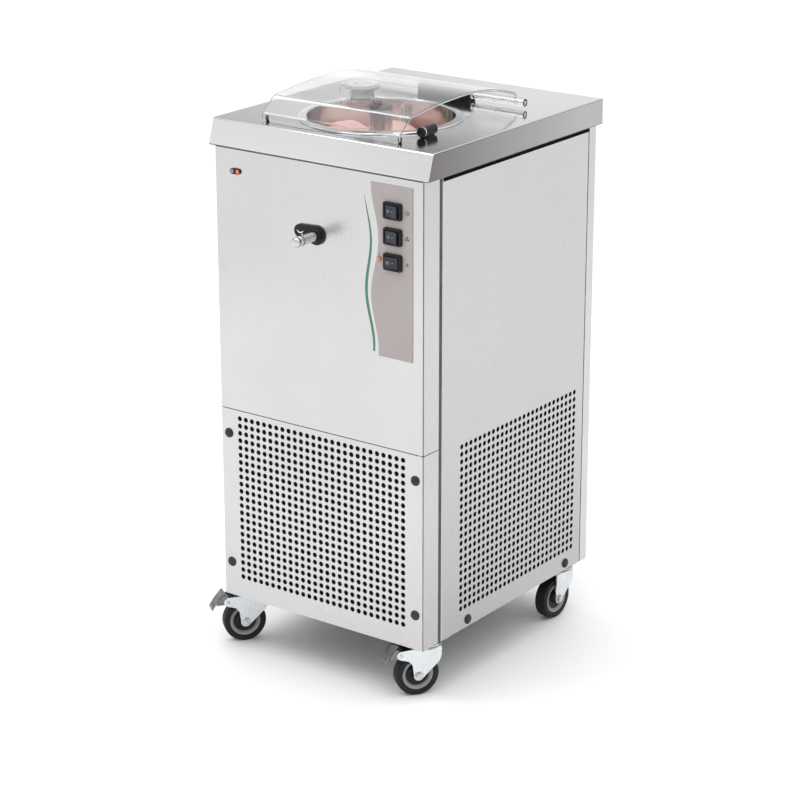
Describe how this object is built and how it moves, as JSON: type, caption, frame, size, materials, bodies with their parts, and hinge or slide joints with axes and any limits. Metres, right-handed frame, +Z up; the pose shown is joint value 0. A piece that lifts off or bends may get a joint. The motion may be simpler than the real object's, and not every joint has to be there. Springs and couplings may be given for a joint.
{
  "type": "batch freezer",
  "caption": "Floor-standing frozen-dessert batch freezer on castors: steel cabinet, bowl with turning paddle, clear hinged lid, drain spout and rocker switches.",
  "frame": {"origin": "middle of the object's footprint, on the floor", "axes": "+Z up, -Y towards the front with the drain spout, +X towards the side with the switches"},
  "size_m": [0.501, 0.6202, 1.0663],
  "materials": {
    "brushed_steel": "brushed stainless steel",
    "frame_steel": "dark paint",
    "zinc_plate": "zinc plated",
    "castor_rubber": "matt rubber",
    "black_plastic": "satin black plastic",
    "clear_plastic": "clear polycarbonate",
    "printed_plate": "printed satin film",
    "amber_lens": "tinted lens",
    "copper": "drawn copper tube",
    "foam": "rigid foam",
    "black_enamel": "black enamel",
    "cast_alloy": "as cast"
  },
  "bodies": {
    "machine": {"base_frame": "frame_steel", "front_grille_panel": "brushed_steel", "front_panel": "brushed_steel", "left_panel": "brushed_steel", "right_panel": "brushed_steel", "back_panel": "brushed_steel", "worktop": "brushed_steel", "control_plate": "printed_plate", "switch_bezel_1": "black_plastic", "switch_bezel_2": "black_plastic", "switch_bezel_3": "black_plastic", "power_lamp": "amber_lens", "indicator_capsule": "black_plastic", "bowl": "brushed_steel", "bowl_insulation": "foam", "evaporator_coil": "copper", "drain_tube": "brushed_steel", "drain_escutcheon": "black_plastic", "drive_bracket": "zinc_plate", "gearbox": "cast_alloy", "motor": "cast_alloy", "condenser": "cast_alloy", "fan_shroud": "black_enamel", "fan_motor": "black_enamel", "compressor": "black_enamel", "suction_pipe": "copper", "discharge_pipe": "copper", "liquid_line": "copper", "electric_box": "black_plastic", "power_inlet": "black_plastic", "hinge_block": "black_plastic", "hinge_pin": "brushed_steel", "lid_bumper_left": "black_plastic", "lid_bumper_right": "black_plastic", "lid_sensor": "black_plastic", "castor_mount_front_left": "zinc_plate", "castor_mount_front_right": "zinc_plate", "castor_mount_back_left": "zinc_plate", "castor_mount_back_right": "zinc_plate"},
    "lid": {"lid_cover": "clear_plastic", "filling_chute": "clear_plastic"},
    "chute_cap": {"chute_cap": "clear_plastic"},
    "paddle": {"paddle": "brushed_steel", "drive_shaft": "zinc_plate"},
    "fan": {"fan": "cast_alloy"},
    "rocker_1": {"rocker_1": "black_plastic"},
    "rocker_2": {"rocker_2": "black_plastic"},
    "rocker_3": {"rocker_3": "black_plastic"},
    "drain_plug": {"drain_plug": "brushed_steel"},
    "castor_front_left": {"castor_fork_front_left": "zinc_plate"},
    "wheel_front_left": {"castor_wheel_front_left": "castor_rubber"},
    "brake_front_left": {"brake_pedal_front_left": "zinc_plate"},
    "castor_front_right": {"castor_fork_front_right": "zinc_plate"},
    "wheel_front_right": {"castor_wheel_front_right": "castor_rubber"},
    "brake_front_right": {"brake_pedal_front_right": "zinc_plate"},
    "castor_back_left": {"castor_fork_back_left": "zinc_plate"},
    "wheel_back_left": {"castor_wheel_back_left": "castor_rubber"},
    "castor_back_right": {"castor_fork_back_right": "zinc_plate"},
    "wheel_back_right": {"castor_wheel_back_right": "castor_rubber"}
  },
  "joints": [
    {"name": "lid_hinge", "type": "hinge", "parent": "machine", "child": "lid", "pos_m": [0.01347, 0.13485, 1.0078], "axis": [-1, 0, 0], "range_deg": [0, 95]},
    {"name": "cap_lift", "type": "slide", "parent": "lid", "child": "chute_cap", "axis": [0, 0, 1], "range_m": [0, 0.05]},
    {"name": "paddle_spin", "type": "hinge", "parent": "machine", "child": "paddle", "pos_m": [0.01347, -0.06215, 0.997], "axis": [0, 0, 1], "continuous": true},
    {"name": "fan_spin", "type": "hinge", "parent": "machine", "child": "fan", "pos_m": [0.01347, -0.13985, 0.2496], "axis": [0, -1, 0], "continuous": true},
    {"name": "plug_pull", "type": "slide", "parent": "machine", "child": "drain_plug", "axis": [0, -1, 0], "range_m": [0, 0.1]},
    {"name": "switch_1_rock", "type": "hinge", "parent": "machine", "child": "rocker_1", "pos_m": [0.17647, -0.2511, 0.892], "axis": [0, 0, 1], "range_deg": [0, 15]},
    {"name": "switch_2_rock", "type": "hinge", "parent": "machine", "child": "rocker_2", "pos_m": [0.17647, -0.2511, 0.8475], "axis": [0, 0, 1], "range_deg": [0, 15]},
    {"name": "switch_3_rock", "type": "hinge", "parent": "machine", "child": "rocker_3", "pos_m": [0.17647, -0.2511, 0.803], "axis": [0, 0, 1], "range_deg": [-15, 0]},
    {"name": "swivel_front_left", "type": "hinge", "parent": "machine", "child": "castor_front_left", "pos_m": [-0.18453, -0.19515, 0.102], "axis": [0, 0, 1], "continuous": true},
    {"name": "roll_front_left", "type": "hinge", "parent": "castor_front_left", "child": "wheel_front_left", "pos_m": [-0.19807, -0.21249, 0.04], "axis": [0.788, -0.6157, 0], "continuous": true},
    {"name": "brake_front_left_press", "type": "hinge", "parent": "castor_front_left", "child": "brake_front_left", "pos_m": [-0.21839, -0.23849, 0.083], "axis": [0.788, -0.6157, 0], "range_deg": [0, 18]},
    {"name": "swivel_front_right", "type": "hinge", "parent": "machine", "child": "castor_front_right", "pos_m": [0.21147, -0.19515, 0.102], "axis": [0, 0, 1], "continuous": true},
    {"name": "roll_front_right", "type": "hinge", "parent": "castor_front_right", "child": "wheel_front_right", "pos_m": [0.19885, -0.21317, 0.04], "axis": [0.8192, -0.5736, 0], "continuous": true},
    {"name": "brake_front_right_press", "type": "hinge", "parent": "castor_front_right", "child": "brake_front_right", "pos_m": [0.17992, -0.2402, 0.083], "axis": [0.8192, -0.5736, 0], "range_deg": [0, 18]},
    {"name": "swivel_back_left", "type": "hinge", "parent": "machine", "child": "castor_back_left", "pos_m": [-0.18453, 0.23585, 0.102], "axis": [0, 0, 1], "continuous": true},
    {"name": "roll_back_left", "type": "hinge", "parent": "castor_back_left", "child": "wheel_back_left", "pos_m": [-0.18835, 0.21418, 0.04], "axis": [0.9848, -0.1736, 0], "continuous": true},
    {"name": "swivel_back_right", "type": "hinge", "parent": "machine", "child": "castor_back_right", "pos_m": [0.21147, 0.23585, 0.102], "axis": [0, 0, 1], "continuous": true},
    {"name": "roll_back_right", "type": "hinge", "parent": "castor_back_right", "child": "wheel_back_right", "pos_m": [0.20994, 0.2139, 0.04], "axis": [0.9976, -0.0698, 0], "continuous": true}
  ]
}
